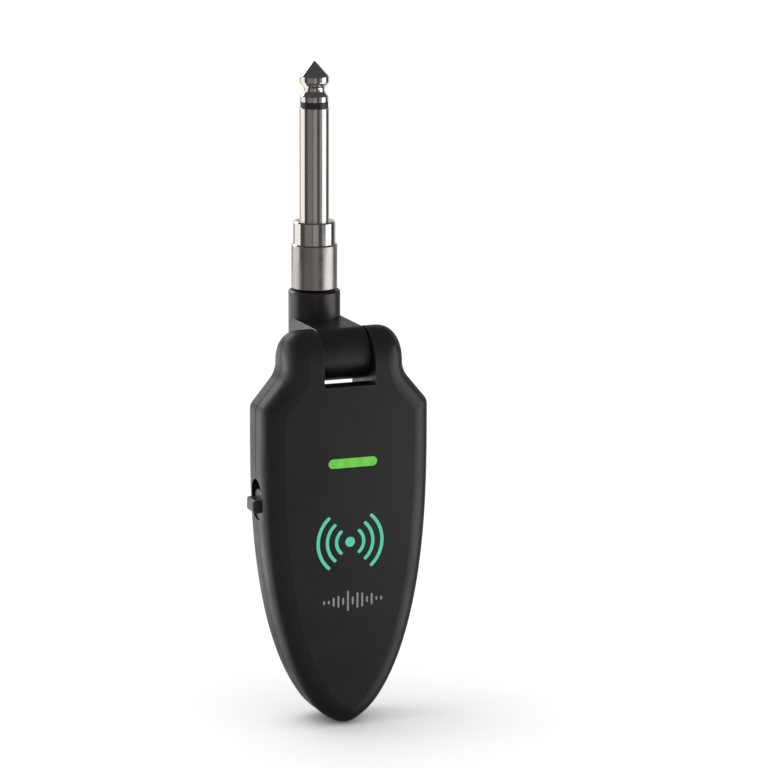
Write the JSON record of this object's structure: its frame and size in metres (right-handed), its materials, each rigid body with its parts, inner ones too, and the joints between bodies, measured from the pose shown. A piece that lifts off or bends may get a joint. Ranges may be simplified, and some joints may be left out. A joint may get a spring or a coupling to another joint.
{
  "type": "wireless guitar transmitter",
  "caption": "Leaf-shaped clip-in transmitter with a folding quarter-inch jack plug on a hinged arm, a light bar, a side slide switch and a charging port.",
  "frame": {"origin": "where the plug's shaft meets its collar, on the plug's axis", "axes": "+Z along the plug towards its tip, -Y out of the front face, +X to the right of a viewer facing the front"},
  "size_m": [0.0391, 0.0274, 0.1415],
  "materials": {
    "housing_plastic": "fine-textured matte black moulding",
    "arm_plastic": "fine-textured matte black moulding",
    "switch_plastic": "matte black moulding",
    "light_green": "diffusing lens, lit green",
    "port_steel": "stamped nickel-plated steel",
    "chip_black": "moulded epoxy",
    "screw_steel": "black-zinc plated",
    "bush_bronze": "plain bronze",
    "washer_nylon": "natural nylon",
    "battery_foil": "pouch foil",
    "foam_grey": "foam tape",
    "lead_red": "silicone insulation",
    "lead_black": "silicone insulation",
    "board_green": "solder-masked laminate",
    "can_tin": "tinned can",
    "antenna_ceramic": "fired ceramic",
    "lamp_white": "clear resin",
    "hinge_steel": "ground steel",
    "collar_nickel": "satin nickel plate",
    "plug_nickel": "polished nickel plate",
    "insulator_black": "moulded nylon",
    "terminal_brass": "plain brass"
  },
  "bodies": {
    "housing": {"front_shell": "housing_plastic", "rear_shell": "housing_plastic", "light_bar": "light_green", "port_shell": "port_steel", "port_tongue": "chip_black", "shell_screws": "screw_steel", "hinge_bushes": "bush_bronze", "friction_washers": "washer_nylon", "battery_cell": "battery_foil", "battery_pad": "foam_grey", "battery_lead_positive": "lead_red", "battery_lead_negative": "lead_black", "main_board": "board_green", "processor_chip": "chip_black", "charge_chip": "chip_black", "converter_chip": "chip_black", "crystal": "can_tin", "shield_can": "can_tin", "chip_antenna": "antenna_ceramic", "status_leds": "lamp_white", "switch_frame": "can_tin", "signal_lead_housing": "lead_black"},
    "plug_arm": {"arm_body": "arm_plastic", "hinge_pin_left": "hinge_steel", "hinge_pin_right": "hinge_steel", "retaining_clips": "hinge_steel", "lower_collar": "collar_nickel", "upper_collar": "plug_nickel", "plug_sleeve": "plug_nickel", "plug_insulator": "insulator_black", "plug_tip": "plug_nickel", "sleeve_terminal": "terminal_brass", "tip_terminal": "terminal_brass", "signal_lead_arm": "lead_black"},
    "power_switch": {"switch_slider": "switch_plastic"}
  },
  "joints": [
    {"name": "plug_fold", "type": "hinge", "parent": "housing", "child": "plug_arm", "pos_m": [0, -0.0142, -0.02645], "axis": [1, 0, 0], "range_deg": [-45, 180]},
    {"name": "switch_slide", "type": "slide", "parent": "housing", "child": "power_switch", "axis": [0, 0, 1], "range_m": [0, 0.0022]}
  ]
}
